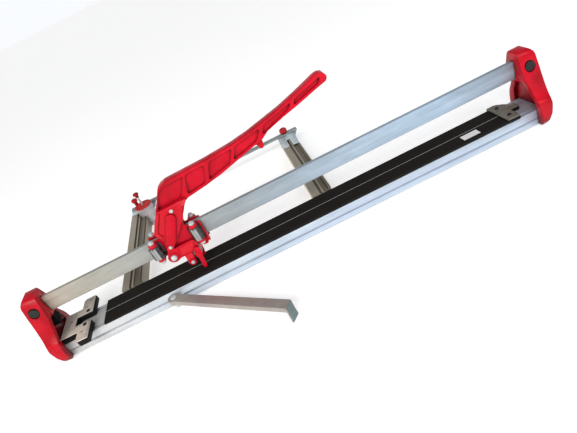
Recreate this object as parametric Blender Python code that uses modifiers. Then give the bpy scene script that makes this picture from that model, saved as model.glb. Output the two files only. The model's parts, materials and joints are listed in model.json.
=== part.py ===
"""Manual tile cutter with a guide rail, a lever trolley and folding support arms.

Built in its own frame: X runs along the rail, the operator stands on the -Y side, Z is up.
The origin is on the surface that the cutter stands on, under the middle of the base.
All sizes below are in millimetres and MM turns them into metres.
"""
import math

import bpy
import bmesh
from mathutils import Matrix, Vector

MM = 0.001
GAP = 0.3

# Base, pads and rail
BASE_HALF_LENGTH = 496.5
BASE_FOOT_HALF = 37.5
BASE_TOP_HALF = 34.0
BASE_BOTTOM = 2.0
BASE_TOP = 29.0
PAD_TOP = 34.0
PAD_LEFT, PAD_RIGHT = -399.0, 427.5
PAD_HALF = 34.0
RAIL_HALF_THICK = 4.5
RAIL_BOTTOM, RAIL_TOP = 90.6, 123.6

# End brackets
BRACKET_INNER, BRACKET_OUTER = 471.5, 503.0
BRACKET_WEB = 497.0
REAR_LEG_INNER = 490.5
RAIL_BOLT_X, RAIL_BOLT_Z = 487.5, 112.0

# Trolley: the guide rollers turn on upright bolts on both faces of the rail
ROLLER_X = (-245.0, -165.0)
ROLLER_Y = 15.8
ROLLER_R = 11.0
PLATE_IN, PLATE_OUT = 5.5, 10.0
TOP_ROLLER_X = (-220.0, -186.0)
TOP_ROLLER_R = 7.8
TOP_ROLLER_Z = RAIL_TOP + GAP + TOP_ROLLER_R
PRESS_ROLLER_R = 7.8
PIVOT_X, PIVOT_Z = -225.0, 82.5
PRESS_X = -163.0

# Lever
BEAM_HALF = 10.0
YOKE_IN, YOKE_OUT = 10.5, 17.0
CROWN_BOTTOM = 146.0
WHEEL_X, WHEEL_Z, WHEEL_R = -203.0, 51.0, 11.0

# Folding support frame at the back
ARM_WIDTH, ARM_BOTTOM, ARM_TOP = 42.0, 6.0, 34.0
ARM_LEFT_X, ARM_RIGHT_X = -348.0, 73.0
ARM_PIVOT_Y, ARM_NEAR_Y, ARM_FAR_Y = 65.0, 40.0, 388.0
ARM_CORNER_R = 25.0
BAR_PIVOT_Y = 378.0
FOOT_X, FOOT_Y, FOOT_R = -325.0, 342.0, 21.0

# Swing arm at the front
SWING_X, SWING_Y, SWING_ANGLE = -256.0, -58.5, -38.6
SWING_LENGTH = 247.0
SWING_TOP = 33.0

FACING_X = (math.pi / 2, 0, math.pi / 2)
FACING_Y = (math.pi / 2, 0, 0)
FACING_Z = (0, 0, 0)


def clear_scene():
    for old in list(bpy.data.objects):
        bpy.data.objects.remove(old, do_unlink=True)


def new_collection(name):
    made = bpy.data.collections.new(name)
    bpy.context.scene.collection.children.link(made)
    return made


def material(name, colour, roughness, metallic=0.0):
    made = bpy.data.materials.new(name)
    made.use_nodes = True
    shader = made.node_tree.nodes["Principled BSDF"]
    shader.inputs["Base Color"].default_value = (*colour, 1)
    shader.inputs["Roughness"].default_value = roughness
    shader.inputs["Metallic"].default_value = metallic
    return made


def arc(centre, radius, start, end, steps=6):
    """Points on a circle in millimetres, from one angle to another in degrees."""
    turns = [math.radians(start + (end - start) * i / steps) for i in range(steps + 1)]
    return [(centre[0] + radius * math.cos(t), centre[1] + radius * math.sin(t)) for t in turns]


def rounded(points, radius, steps=3):
    """The same closed outline with each corner turned into a short curve."""
    made = []
    for i, corner in enumerate(points):
        here, before, after = (Vector(p) for p in (corner, points[i - 1], points[(i + 1) % len(points)]))
        reach = min(radius, 0.4 * (before - here).length, 0.4 * (after - here).length)
        start = here + (before - here).normalized() * reach
        end = here + (after - here).normalized() * reach
        for step in range(steps + 1):
            t = step / steps
            point = start * (1 - t) ** 2 + here * 2 * t * (1 - t) + end * t ** 2
            made.append((point.x, point.y))
    return made


def rectangle(x0, y0, x1, y1):
    return [(x0, y0), (x1, y0), (x1, y1), (x0, y1)]


def mesh_object(name, mesh, place=(0, 0, 0), turn=(0, 0, 0)):
    made = bpy.data.objects.new(name, mesh)
    PARTS.objects.link(made)
    made.location = Vector(place) * MM
    made.rotation_euler = turn
    return made


def prism(name, loops, low, high, turn=FACING_Z):
    """A flat outline, with holes where more loops are given, extruded from low to high.

    FACING_X takes (y, z) points and extrudes along X, FACING_Y takes (x, z) points
    and extrudes along Y, and FACING_Z takes (x, y) points and extrudes along Z.
    """
    curve = bpy.data.curves.new(name, "CURVE")
    curve.dimensions = "2D"
    curve.fill_mode = "BOTH"
    curve.extrude = (high - low) / 2 * MM
    for loop in loops:
        spline = curve.splines.new("POLY")
        spline.points.add(len(loop) - 1)
        for point, (a, b) in zip(spline.points, loop):
            point.co = (a * MM, b * MM, 0, 1)
        spline.use_cyclic_u = True
    middle = (high + low) / 2
    drawn = mesh_object(name + "_outline", curve, turn=turn)
    along = {FACING_X: (middle, 0, 0), FACING_Y: (0, middle, 0), FACING_Z: (0, 0, middle)}[turn]
    drawn.location = Vector(along) * MM
    bpy.context.view_layer.update()
    solid = bpy.data.meshes.new_from_object(drawn.evaluated_get(bpy.context.evaluated_depsgraph_get()))
    solid.transform(drawn.matrix_world)
    bpy.data.objects.remove(drawn, do_unlink=True)
    weld(solid)
    solid.name = name
    return mesh_object(name, solid)


def weld(mesh):
    shape = bmesh.new()
    shape.from_mesh(mesh)
    bmesh.ops.remove_doubles(shape, verts=shape.verts, dist=0.00001)
    bmesh.ops.recalc_face_normals(shape, faces=shape.faces)
    shape.to_mesh(mesh)
    shape.free()


def box(name, low, high, bevel=0.0):
    """A block between two corners, in millimetres, with its edges broken by bevel."""
    shape = bmesh.new()
    bmesh.ops.create_cube(shape, size=1.0)
    size = [(b - a) * MM for a, b in zip(low, high)]
    middle = [(b + a) / 2 * MM for a, b in zip(low, high)]
    bmesh.ops.scale(shape, vec=size, verts=shape.verts)
    bmesh.ops.translate(shape, vec=middle, verts=shape.verts)
    mesh = bpy.data.meshes.new(name)
    shape.to_mesh(mesh)
    shape.free()
    made = mesh_object(name, mesh)
    if bevel:
        add_bevel(made, bevel)
    return made


def add_bevel(made, width, segments=1, angle=40):
    edge = made.modifiers.new("edges", "BEVEL")
    edge.width = width * MM
    edge.segments = segments
    edge.limit_method = "ANGLE"
    edge.angle_limit = math.radians(angle)


def cylinder(name, centre, radius, length, axis="Z", sides=24):
    """A round bar whose middle is at centre, along the X, Y or Z axis."""
    shape = bmesh.new()
    bmesh.ops.create_cone(shape, cap_ends=True, segments=sides, radius1=radius * MM,
                          radius2=radius * MM, depth=length * MM)
    turn = {"X": Matrix.Rotation(math.pi / 2, 4, "Y"), "Y": Matrix.Rotation(math.pi / 2, 4, "X"),
            "Z": Matrix.Identity(4)}[axis]
    turn = turn @ Matrix.Rotation(math.pi / sides, 4, "Z")
    bmesh.ops.transform(shape, matrix=Matrix.Translation(Vector(centre) * MM) @ turn, verts=shape.verts)
    mesh = bpy.data.meshes.new(name)
    shape.to_mesh(mesh)
    shape.free()
    return mesh_object(name, mesh)


def turned(name, profile, place, axis="Z", sides=20, closed=False):
    """A profile of (radius, height) points, top to bottom, turned round an axis at place."""
    mesh = bpy.data.meshes.new(name)
    verts = [(radius * MM, 0, height * MM) for radius, height in profile]
    edges = [(i, i + 1) for i in range(len(verts) - 1)]
    if closed:
        edges.append((len(verts) - 1, 0))
    mesh.from_pydata(verts, edges, [])
    turn = {"Z": (0, 0, 0), "Y": (math.pi / 2, 0, 0), "X": (0, math.pi / 2, 0)}[axis]
    made = mesh_object(name, mesh, place, turn)
    screw = made.modifiers.new("turn", "SCREW")
    screw.steps = sides
    screw.render_steps = sides
    screw.use_merge_vertices = True
    screw.merge_threshold = 0.00001
    return made


def bake(made):
    """Replaces an object's mesh by its evaluated one, so that it can be cut and joined."""
    bpy.context.view_layer.update()
    graph = bpy.context.evaluated_depsgraph_get()
    mesh = bpy.data.meshes.new_from_object(made.evaluated_get(graph))
    made.modifiers.clear()
    made.data = mesh


def combine(made, others, how):
    """Cuts or joins the other objects into made, one Boolean at a time, and removes them."""
    for other in others:
        step = made.modifiers.new(how.lower(), "BOOLEAN")
        step.operation = how
        step.solver = "EXACT"
        step.object = other
        bake(made)
        bpy.data.objects.remove(other, do_unlink=True)


def cut(made, *cutters):
    combine(made, cutters, "DIFFERENCE")


def join(made, *pieces):
    combine(made, pieces, "UNION")


def finish(made, finish_name, smooth=35):
    made.data.materials.clear()
    made.data.materials.append(FINISHES[finish_name])
    if made.type == "MESH" and not made.modifiers:
        made.data.shade_smooth()
        made.data.set_sharp_from_angle(angle=math.radians(smooth))
    return made


def set_origin(made, point):
    """Moves an object's origin to a point in millimetres and leaves its shape where it is."""
    offset = Vector(point) * MM - made.location
    made.data.transform(Matrix.Translation(-offset))
    made.location = made.location + offset


# ---- Base ------------------------------------------------------------------------------------

def base_extrusion():
    groove, lip = 3.0, 2.0
    side = BASE_FOOT_HALF - 1.6
    right = [(BASE_FOOT_HALF, BASE_BOTTOM), (BASE_FOOT_HALF, 5), (side, 11.5), (side - groove, 11.5),
             (side - groove, 15.5), (side, 15.5), (BASE_TOP_HALF, 27.5), (BASE_TOP_HALF - 1, BASE_TOP),
             (27, BASE_TOP), (27, BASE_TOP - lip), (24, BASE_TOP - lip), (24, BASE_TOP)]
    outline = right + [(-y, z) for y, z in reversed(right)]
    cells = [rectangle(-29, 5, -10, 22), rectangle(-7, 5, 7, 25), rectangle(10, 5, 29, 22)]
    made = prism("base_extrusion", [outline] + cells, -BASE_HALF_LENGTH, BASE_HALF_LENGTH, FACING_X)
    finish(made, "base_aluminium")


def base_rubber_strip():
    made = box("base_rubber_strip", (-460, -24, 0), (460, 24, BASE_BOTTOM - GAP), 0.4)
    finish(made, "rubber")


def pads():
    for name, side in (("pad_near", -1), ("pad_far", 1)):
        low, high = sorted((side * 1.0, side * PAD_HALF))
        made = box(name, (PAD_LEFT, low, BASE_TOP + GAP), (PAD_RIGHT, high, PAD_TOP), 0.8)
        finish(made, "rubber")
    strip = box("centre_strip", (PAD_LEFT, -0.6, BASE_TOP + GAP), (PAD_RIGHT, 0.6, PAD_TOP - 0.8))
    finish(strip, "zinc")


def bracket_outline():
    """Half of the arch seen from the end: crown, sloping leg, flare and foot."""
    leg = [(10, 139), (14, 138.2), (17.3, 136), (19.6, 132.5), (22, 126), (25, 117), (28, 108), (31, 97.5),
           (35, 84.5), (39, 72.5), (43, 62.5), (47, 54.5), (50.4, 48.5), (52.8, 42), (54.2, 34.5), (55, 26.5),
           (55, 16), (54, 11), (51.5, 7), (48, 4.2), (44, 3)]
    return leg + [(38.4, 3)]


def bracket(name, side):
    leg = bracket_outline()
    outline = leg + [(-y, z) for y, z in reversed(leg)]
    low, high = sorted((side * BRACKET_INNER, side * BRACKET_OUTER))
    made = prism(name, [outline], low, high, FACING_X)
    low, high = sorted((side * (BRACKET_INNER - 5), side * BRACKET_WEB))
    half = [(38.4, -2), (38.4, 47), (31, 63), (20, 86)]
    window = prism("window", [half + [(-y, z) for y, z in reversed(half)]], low, high, FACING_X)
    rail_hole = rectangle(-RAIL_HALF_THICK - GAP, RAIL_BOTTOM - GAP, RAIL_HALF_THICK + GAP, RAIL_TOP + GAP)
    slot = prism("slot", [rail_hole], low, high, FACING_X)
    low, high = sorted((side * (BRACKET_INNER - 5), side * REAR_LEG_INNER))
    relief = box("relief", (low, 8, -5), (high, 70, 94))
    taper = [(side * x, z) for x, z in ((460, 104), (469.4, 104), (476, 74), (479.5, 50),
                                        (481.5, 30), (482.5, -5), (460, -5))]
    front_taper = prism("front_taper", [taper], -70, -12, FACING_Y)
    crown_back = [(side * x, y) for x, y in ((460, 3.3), (469.3, 3.3), (476.5, 14.3), (476.5, 40), (460, 40))]
    crown_relief = prism("crown_relief", [crown_back], 90, 150)
    corner = [(side * x, z) for x, z in ((510, 47), (503.2, 41.3), (499, 22.3), (493, 10.2),
                                         (486.5, 2.2), (486, -5), (510, -5))]
    rounding = prism("rounding", [corner], -70, 70, FACING_Y)
    crown = [(side * x, z) for x, z in ((492, 142), (497.5, 138), (501.4, 133), (503.6, 126), (510, 126),
                                        (510, 142))]
    shoulder = prism("shoulder", [crown], -70, 70, FACING_Y)
    bolt = cylinder("bolt_hole", (side * RAIL_BOLT_X, 0, RAIL_BOLT_Z), 4.3, 140, "Y")
    front = cylinder("front_seat", (side * RAIL_BOLT_X, -40.2, RAIL_BOLT_Z), 9.8, 40, "Y")
    back = cylinder("back_seat", (side * RAIL_BOLT_X, 40.2, RAIL_BOLT_Z), 9.8, 40, "Y")
    cut(made, window, slot, relief, front_taper, crown_relief, rounding, shoulder, bolt, front, back)
    finish(made, "red_paint", 30)


def guide_rail():
    made = box("guide_rail", (-BASE_HALF_LENGTH, -RAIL_HALF_THICK, RAIL_BOTTOM),
               (BASE_HALF_LENGTH, RAIL_HALF_THICK, RAIL_TOP))
    for side in (-1, 1):
        cut(made, cylinder("hole", (side * RAIL_BOLT_X, 0, RAIL_BOLT_Z), 4.3, 30, "Y"))
    add_bevel(made, 0.5)
    finish(made, "rail_aluminium")


def rail_bolts():
    """Socket-headed bolts through the brackets and the rail, with a nut behind."""
    profile = [(0, 23.5), (4.6, 23.5), (4.6, 27.4), (8.4, 27.4), (9, 26.8), (9, 20.5), (4, 20.5),
               (4, -20.5), (8.6, -20.5), (8.6, -27), (0, -27)]
    for name, side in (("rail_bolt_left", -1), ("rail_bolt_right", 1)):
        made = turned(name, profile, (side * RAIL_BOLT_X, 0, RAIL_BOLT_Z), "Y")
        finish(made, "black_steel")


def screw_head(name, place, finish_name="black_steel", radius=3.8, height=1.6, depth=6.0):
    """A low-headed screw whose head sits on the face at place and points up."""
    profile = [(0, height - 0.9), (1.6, height - 0.9), (1.6, height), (radius - 0.5, height),
               (radius, height - 0.5), (radius, GAP), (1.9, GAP), (1.9, -depth), (0, -depth)]
    finish(turned(name, profile, place, "Z", 16), finish_name)


# ---- Fences on the base ----------------------------------------------------------------------

FENCE_TOP = 42.0
FENCE_SCREWS = {"fence_screw_near": (-435, -21), "fence_screw_far": (-434, 18)}
STOP_TOP = 38.0
STOP_SCREWS = {"stop_screw_near": (440, -20), "stop_screw_far": (440, 19)}


def fence_outline(inset):
    stem, bar, notch = 34.0 - inset, 62.0 - inset, 12.0 + inset
    left, waist, root, right = -484.0, -448.0 + inset, -457.0 - inset, -424.0 - inset
    half = [(left, stem), (waist - 2 * inset, stem), (waist - 2 * inset, bar - 4),
            (waist + 4 - 2 * inset, bar), (right, bar), (right, notch), (root, notch)]
    return half + [(x, -y) for x, y in reversed(half)]


def stop_outline():
    return [(428, -35), (452, -35), (452, -4), (470.8, -4), (470.8, 10), (465, 10), (456, 24),
            (447, 33), (442, 35), (428, 35)]


def layered_stop(names, outlines, top, screws, finish_block):
    """A block on the base with a steel plate on it, held by two screws."""
    block = prism(names[0], [outlines[0]], BASE_TOP + GAP, top - 2 - GAP)
    plate = prism(names[1], [outlines[1]], top - 2, top)
    for x, y in screws.values():
        cut(block, cylinder("hole", (x, y, top), 2.2, 20, sides=12))
        cut(plate, cylinder("hole", (x, y, top), 2.2, 20, sides=12))
    finish(block, finish_block)
    finish(plate, "steel_plate")
    for name, (x, y) in screws.items():
        screw_head(name, (x, y, top))


# ---- Line laser under the left end of the rail ------------------------------------------------

def laser_unit():
    housing = box("laser_housing", (-491.5, -11, 60), (-470.5, 8, 85.5), 3.2)
    bake(housing)
    cut(housing, box("switch_bay", (-476, -6.5, 70), (-466, 3.5, 80)))
    cut(housing, cylinder("lens_bay", (-470.5, 0, 65), 2.9, 8, "X", 16))
    finish(housing, "black_plastic")
    lens = turned("laser_lens", [(0, 0), (1.3, 0.6), (2.6, 0.6), (2.6, -3.6), (0, -3.6)], (-470.5, 0, 65),
                  "X", 16)
    finish(lens, "lens_glass")
    switch = box("laser_switch", (-473.4, -6.1, 70.4), (-468.7, 3.1, 79.6), 1.0)
    finish(switch, "black_plastic")


# ---- Swing arm at the front -------------------------------------------------------------------

def swing_arm():
    """A channel with a round eye at the pivot and a turned-down foot, drawn along +X, then turned."""
    half, wall, flange, eye = 9.2, 1.6, 9.5, 11.6
    start = math.degrees(math.asin(half / eye))
    outline = arc((0, 0), eye, start, 360 - start, 16) + [(SWING_LENGTH, -half), (SWING_LENGTH, half)]
    made = prism("swing_arm", [outline], SWING_TOP - flange, SWING_TOP)
    hollow = box("hollow", (17, -half + wall, 10), (SWING_LENGTH - 2.6, half - wall, SWING_TOP - wall))
    foot = box("foot", (SWING_LENGTH - 2.6, -half, 0.5), (SWING_LENGTH + 0.2, half, SWING_TOP - 1))
    cut(made, hollow, cylinder("hole", (0, 0, SWING_TOP), 4.4, 40))
    join(made, foot)
    made.rotation_euler = (0, 0, math.radians(SWING_ANGLE))
    made.location = Vector((SWING_X, SWING_Y, 0)) * MM
    finish(made, "zinc")


def swing_arm_mount():
    outline = [(SWING_X + 8, SWING_Y), (SWING_X + 8, -38), (SWING_X - 8, -38), (SWING_X - 8, SWING_Y)]
    outline += arc((SWING_X, SWING_Y), 8, 180, 360, 8)[1:-1]
    lug = prism("swing_arm_lug", [outline], 16.5, SWING_TOP - 9.5 - GAP)
    cut(lug, cylinder("hole", (SWING_X, SWING_Y, 18), 4.4, 30))
    finish(lug, "zinc")
    profile = [(0, 2.4), (3.6, 2.3), (5.6, 1.5), (6.4, GAP), (4, GAP), (4, -16.8), (6.4, -16.8),
               (6.4, -21), (0, -21)]
    bolt = turned("swing_arm_bolt", profile, (SWING_X, SWING_Y, SWING_TOP))
    finish(bolt, "zinc")


# ---- Folding frame at the back ----------------------------------------------------------------

def arm_profile(x0):
    """Top face from the left: flat, groove, rib, tray, rib and a low edge."""
    deep, tray = ARM_TOP - 5, ARM_TOP - 3
    top = [(0, ARM_TOP), (16, ARM_TOP), (16, deep), (21.5, deep), (21.5, ARM_TOP), (25, ARM_TOP),
           (25, tray), (36, tray), (36, ARM_TOP), (39, ARM_TOP), (39, tray), (ARM_WIDTH, tray)]
    rest = [(ARM_WIDTH, ARM_BOTTOM), (0, ARM_BOTTOM)]
    return [(x0 + x, z) for x, z in top + rest]


def support_arm(name, centre, foot=False):
    left = centre - ARM_WIDTH / 2
    made = prism(name, [arm_profile(left)], ARM_NEAR_Y, ARM_FAR_Y, FACING_Y)
    right = left + ARM_WIDTH
    round_corner = arc((centre, ARM_PIVOT_Y), ARM_CORNER_R, -90, -20, 6)
    outside = [(right + 8, ARM_PIVOT_Y - 8), (right + 8, 30), (centre, 30)]
    corner = prism("corner", [round_corner + outside], 0, 40)
    stud_hole = cylinder("stud_hole", (centre, ARM_PIVOT_Y, 10), 4.4, 28)
    cut(made, corner, stud_hole, cylinder("knob_hole", (centre, BAR_PIVOT_Y, ARM_TOP), 3.2, 24))
    if foot:
        cut(made, cylinder("seat", (FOOT_X, FOOT_Y, 20), FOOT_R + 0.6, 60, sides=32))
    set_origin(made, (centre, ARM_PIVOT_Y, 0))
    finish(made, "arm_aluminium")


def arm_hinge(name, centre):
    """An angle against the base with an upright stud that the arm turns on."""
    side = BASE_FOOT_HALF + 0.5
    shape = [(side, 2.4), (82, 2.4), (82, ARM_BOTTOM - GAP), (side + 1.5, ARM_BOTTOM - GAP),
             (side + 1.5, 26), (side, 26)]
    made = prism(name, [shape], centre - 17, centre + 17, FACING_X)
    join(made, cylinder("stud", (centre, ARM_PIVOT_Y, 12), 4.0, 18))
    finish(made, "zinc")


def arm_plates():
    """Zinc plates on the outer ends of the arms, under the cross bar."""
    low, high = ARM_TOP + GAP, ARM_TOP + 2.2
    right = [(52.5, 306), (68.5, 303), (69, 344), (77.5, 345), (78, 301), (93, 300), (95, 344),
             (104, 372), (104, 390), (52.5, 390)]
    made = prism("arm_plate_right", [right], low, high)
    cut(made, cylinder("hole", (ARM_RIGHT_X, BAR_PIVOT_Y, ARM_TOP), 3.2, 20))
    finish(made, "zinc")
    left = [(-367, 352), (-336, 352), (-336, 334), (-303, 334), (-300, 340), (-300, 390), (-367, 390)]
    made = prism("arm_plate_left", [left], low, high)
    cut(made, cylinder("hole", (ARM_LEFT_X, BAR_PIVOT_Y, ARM_TOP), 3.2, 20),
        cylinder("seat", (FOOT_X, FOOT_Y, 20), FOOT_R + 0.6, 60, sides=32))
    finish(made, "zinc")


def cross_bar():
    low, high = ARM_TOP + 2.6, ARM_TOP + 6.8
    made = box("cross_bar", (-367, BAR_PIVOT_Y - 8, low), (107, BAR_PIVOT_Y + 8, high))
    for centre in (ARM_LEFT_X, ARM_RIGHT_X):
        cut(made, cylinder("hole", (centre, BAR_PIVOT_Y, low), 3.2, 20))
    add_bevel(made, 0.5)
    set_origin(made, (ARM_RIGHT_X, BAR_PIVOT_Y, 0))
    finish(made, "bar_steel")


def bar_knob(name, centre, lift, size):
    """A red knob above the bar, with its stud going down through the bar and the arm's plate."""
    seat, stud_end = ARM_TOP + 6.8 + GAP, ARM_TOP - 8
    knob = [(0, 12), (6.5, 12), (9.2, 10), (10.2, 6), (9.6, 2), (6, 0)]
    profile = [(size * r, lift + size * z) for r, z in knob]
    profile += [(5, 0), (2.6, 0), (2.6, stud_end - seat), (0, stud_end - seat)]
    made = turned(name, profile, (centre, BAR_PIVOT_Y, seat))
    finish(made, "red_plastic")


def levelling_foot():
    """A sleeve that stands on the floor, a red flange on it and a thumbscrew down its middle."""
    sleeve_top, flange_top = 52.0, 55.5
    x, y = FOOT_X, FOOT_Y
    profile = [(3.4, sleeve_top), (19.5, sleeve_top), (FOOT_R, sleeve_top - 2), (FOOT_R, 2),
               (19.5, 0.5), (3.4, 0.5)]
    finish(turned("foot_sleeve", profile, (x, y, 0), "Z", 32, closed=True), "grey_clear")
    profile = [(3.4, flange_top), (20.5, flange_top), (22, flange_top - 1), (22, sleeve_top + GAP),
               (3.4, sleeve_top + GAP)]
    finish(turned("foot_flange", profile, (x, y, 0), "Z", 32, closed=True), "red_plastic")
    head = flange_top + 26
    profile = [(0, head + 9), (5, head + 9), (7.4, head + 7), (7.4, head + 4), (4.6, head + 2),
               (4.4, head - 3), (2.6, head - 4.5), (2.6, 22), (0, 22)]
    finish(turned("foot_thumbscrew", profile, (x, y, 0), "Z", 20), "red_plastic")


# ---- Trolley ----------------------------------------------------------------------------------

def plate_outline():
    return [(-232, 93), (-232, 121), (-225, 138), (-214, 142), (-188, 142), (-178, 132), (-178, 93.8),
            (-156, 93.8), (-154.5, 80), (-159, 74), (-167, 74), (-171.5, 80), (-172.5, 91.3),
            (-212.5, 91.3), (-214, 80), (-219, 72.8), (-231, 72.8), (-236, 80)]


def ear_outline(roller_x, inward, side):
    """Plan of a roller ear: a lobe round the bolt and a web back to the side plate."""
    lobe = 7.5
    start = (0, 180) if inward > 0 else (180, 0)
    inner = roller_x + inward * lobe
    outer = roller_x - inward * lobe
    web = roller_x + inward * 17
    round_end = arc((roller_x, ROLLER_Y), lobe, *start, steps=8)
    points = [(outer, 6.2), (web, 6.2), (web, 9.6), (inner, 9.6)] + round_end
    return [(x, side * y) for x, y in points]


def side_plate(name, side):
    low, high = sorted((side * PLATE_IN, side * PLATE_OUT))
    made = prism(name, [plate_outline()], low, high, FACING_Y)
    for roller_x, inward in zip(ROLLER_X, (1, -1)):
        ear = ear_outline(roller_x, inward, side)
        join(made, prism("lower_ear", [ear], 88, 93.6), prism("upper_ear", [ear], 120.3, 126))
    outer = [(-153.6, 6.2), (-151.2, 6.2), (-151.2, 13), (-152, 14.4), (-153.6, 14.4)]
    guard = prism("guard", [[(x, side * y) for x, y in outer]], 80, 123)
    foot = [(-158, 6.2), (-151.9, 6.2), (-151.9, 12.4), (-158, 12.4)]
    join(made, guard, prism("guard_foot", [[(x, side * y) for x, y in foot]], 80, 93.2),
         prism("guard_cap", [[(x - 0.3, side * y) for x, y in foot]], 120.7, 122.6))
    holes = [cylinder("bolt", (x, side * ROLLER_Y, 100), 3.3, 80, sides=16) for x in ROLLER_X]
    holes += [cylinder("axle", (x, 0, TOP_ROLLER_Z), 2.9, 40, "Y", 16) for x in TOP_ROLLER_X]
    holes += [cylinder("pivot", (PIVOT_X, 0, PIVOT_Z), 4.3, 40, "Y")]
    holes += [cylinder("press", (PRESS_X, 0, PIVOT_Z), 2.9, 40, "Y", 16)]
    cut(made, *holes)
    finish(made, "red_paint", 30)


def guide_rollers():
    low, high = 94.0, 119.9
    roller = [(3.3, high), (9.6, high), (ROLLER_R, high - 1.4), (ROLLER_R, low + 1.4), (9.6, low),
              (3.3, low)]
    bolt = [(0, 133), (2.5, 132.6), (4.6, 130.8), (5.4, 128), (5.4, 126 + GAP), (3, 126 + GAP),
            (3, 88 - GAP), (5.4, 88 - GAP), (5.4, 85), (4.6, 82.6), (2.5, 81), (0, 80.6)]
    for end, x in zip(("left", "right"), ROLLER_X):
        for face, side in (("front", -1), ("rear", 1)):
            place = (x, side * ROLLER_Y, 0)
            finish(turned(f"guide_roller_{face}_{end}", roller, place, closed=True), "chrome")
            finish(turned(f"roller_bolt_{face}_{end}", bolt, place, sides=16), "zinc")


def stub_roller(name, x, z, radius):
    """A small roller with its axle stubs in one piece, turned about Y."""
    half, stub, end = 4.6, 2.5, 9.8
    profile = [(0, end), (stub, end), (stub, half), (radius, half), (radius, -half), (stub, -half),
               (stub, -end), (0, -end)]
    finish(turned(name, profile, (x, 0, z), "Y", 20), "chrome")


def trolley_core():
    bridge = box("trolley_bridge", (-210, -5.2, 126), (-196, 5.2, 140), 0.6)
    finish(bridge, "red_paint")
    for end, x in zip(("left", "right"), TOP_ROLLER_X):
        stub_roller(f"top_roller_{end}", x, TOP_ROLLER_Z, TOP_ROLLER_R)
    stub_roller("press_roller_right", PRESS_X, PIVOT_Z, PRESS_ROLLER_R)
    profile = [(4.3, 4.6), (PRESS_ROLLER_R, 4.6), (PRESS_ROLLER_R, -4.6), (4.3, -4.6)]
    made = turned("press_roller_left", profile, (PIVOT_X, 0, PIVOT_Z), "Y", 20, closed=True)
    finish(made, "chrome")
    out = YOKE_OUT + 1.5 + GAP
    profile = [(0, out + 4.6), (3.4, out + 4.3), (5.4, out + 2.6), (6, out), (4, out), (4, -out),
               (6, -out), (5.4, -out - 2.6), (3.4, -out - 4.3), (0, -out - 4.6)]
    finish(turned("pivot_bolt", profile, (PIVOT_X, 0, PIVOT_Z), "Y"), "zinc")


# ---- Lever ------------------------------------------------------------------------------------

BEAM_TOP = [(-176, 213), (-165, 216), (-90, 217.5), (-40, 221), (-5, 226), (28, 233), (61, 240.5),
            (94, 250), (135, 263.5)]
BEAM_BOTTOM = [(149, 248), (126, 242), (94, 233), (61, 225), (28, 215.5), (11, 205), (-5, 202),
               (-39, 193), (-74, 184), (-108, 177.5), (-145, 172.5)]
COVER_SCREWS = {"cover_screw_top": (-182, 167), "cover_screw_bottom": (-220, 104)}


def beam_outline():
    tip = [(142, 264.5), (149, 262.5), (152.5, 257), (152.5, 252)]
    inner = [(-153, 169), (-158, 163), (-168, 149.5)]
    outer = [(-224, 149.5), (-212, 167), (-190, 200), (-184, 208)]
    return BEAM_TOP + tip + BEAM_BOTTOM + inner + outer


def height_on(line, x):
    """Height of a polyline of (x, z) points at x."""
    points = sorted(line)
    for (x0, z0), (x1, z1) in zip(points, points[1:]):
        if x0 <= x <= x1:
            return z0 + (z1 - z0) * (x - x0) / (x1 - x0)
    return points[-1][1]


def pocket(left, right, lean, rim):
    """A lightening pocket between two leaning ribs, one rim away from the beam's edges."""
    top = [(x, height_on(BEAM_TOP, x) - rim) for x in (left + lean, right + lean)]
    bottom = [(x, height_on(BEAM_BOTTOM, x) + rim) for x in (right, left)]
    return top + bottom


def pockets():
    elbow = [(-186, 203), (-176, 209.5), (-134, 211.5), (-155, 178), (-164, 174.5), (-203, 174.5)]
    ribs = [(-143, -106, 12, 4.2), (-99, -53, 14, 4.2), (-46, 5, 12, 4.2)]
    ribs += [(17, 75, 7, 4.1), (84, 137, 5, 4.1)]
    return [rounded(outline, 6) for outline in [elbow] + [pocket(*rib) for rib in ribs]]


def yoke_outline():
    lobe = arc((PIVOT_X, PIVOT_Z), 11, 165, 300, 8)
    return [(-170.5, 145.5), (-166, 155), (-158, 166), (-152, 170.5), (-150, 176), (-206.5, 176),
            (-231.5, 140.5), (-222.5, 120), (-230.5, 95)] + lobe + \
           [(-214, 75), (-176, 75), (-174.5, 88), (-178, 98), (-217, 98), (-177.5, 138)]


def lever():
    """Handle and fork in one casting: the fork stands astride the rail and the side plates."""
    made = prism("lever", [beam_outline()], -BEAM_HALF, BEAM_HALF, FACING_Y)
    for side in (-1, 1):
        low, high = sorted((side * (BEAM_HALF - 4.5), side * (BEAM_HALF + 8)))
        for outline in pockets():
            cut(made, prism("pocket", [outline], low, high, FACING_Y))
    hook = [(-4, 205), (13, 209), (12.5, 199), (12, 193), (8.5, 190), (4.5, 190.5), (3, 193.5), (2, 198)]
    join(made, prism("hook", [hook], -4.5, 4.5, FACING_Y))
    yoke = prism("yoke", [yoke_outline()], -YOKE_OUT, YOKE_OUT, FACING_Y)
    cut(yoke, box("fork_gap", (-250, -YOKE_IN, 50), (-150, YOKE_IN, CROWN_BOTTOM)))
    join(made, yoke)
    join(made, cylinder("boss", (PIVOT_X, 0, PIVOT_Z), 9, 2 * YOKE_OUT + 3, "Y"))
    cut(made, box("boss_gap", (-240, -YOKE_IN, 70), (-210, YOKE_IN, 95)))
    cut(made, cylinder("pivot", (PIVOT_X, 0, PIVOT_Z), 4.3, 60, "Y"))
    for x, z in COVER_SCREWS.values():
        cut(made, cylinder("thread", (x, -YOKE_OUT, z), 1.8, 10, "Y", 12))
    set_origin(made, (PIVOT_X, 0, PIVOT_Z))
    finish(made, "red_paint", 30)


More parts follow.
